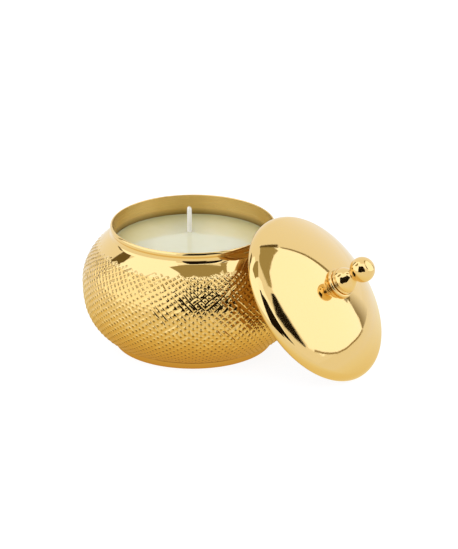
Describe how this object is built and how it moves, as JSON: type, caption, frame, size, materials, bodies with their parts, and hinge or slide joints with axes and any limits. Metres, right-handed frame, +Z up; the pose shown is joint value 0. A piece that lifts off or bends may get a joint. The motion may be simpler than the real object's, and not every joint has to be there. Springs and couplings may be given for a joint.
{
  "type": "lidded candle tin",
  "caption": "Squat round candle bowl with a cross-hatched belly and short smooth neck, filled with wax around a wick, its domed lid with a turned knob propped against the side.",
  "frame": {"origin": "centre of the bowl's flat underside", "axes": "+Z up along the bowl's axis; +X from the bowl towards the propped lid, so the lid's axis lies in the XZ plane"},
  "size_m": [0.1556, 0.11, 0.0708],
  "materials": {
    "hammered_gold": "polished sheet embossed with a fine diagonal cross-hatch",
    "polished_gold": "mirror polished, lacquered",
    "satin_gold": "satin, unpolished inner face",
    "knob_gold": "turned and mirror polished",
    "plated_steel": "bright zinc plate",
    "wax": "smooth poured wax, softly glossy",
    "cotton": "braided cotton primed with wax",
    "foam_adhesive": "matt double-sided foam dot"
  },
  "bodies": {
    "tin": {"bowl_shell": "hammered_gold", "neck_collar": "polished_gold", "foot_ring": "polished_gold", "base_disc": "satin_gold", "wax_fill": "wax", "wick": "cotton", "wick_sustainer": "plated_steel", "sustainer_sticker": "foam_adhesive"},
    "ball": {"knob_ball": "knob_gold"},
    "lid": {"lid_dome": "polished_gold", "lid_locating_ring": "satin_gold", "knob_flange": "knob_gold", "knob_bell": "knob_gold", "knob_washer": "plated_steel", "knob_screw": "plated_steel"}
  },
  "joints": [
    {"name": "lid_lift", "type": "hinge", "parent": "tin", "child": "ball", "pos_m": [0.05633, 0, 0.097], "axis": [0, -1, 0], "range_deg": [0, 227.56]},
    {"name": "lid_level", "type": "hinge", "parent": "ball", "child": "lid", "pos_m": [0.09434, 0, 0.05543], "axis": [0, -1, 0], "range_deg": [-176, 0]}
  ],
  "couplings": [
    {"joint": "lid_level", "follows": "lid_lift", "ratio": -0.7728}
  ]
}
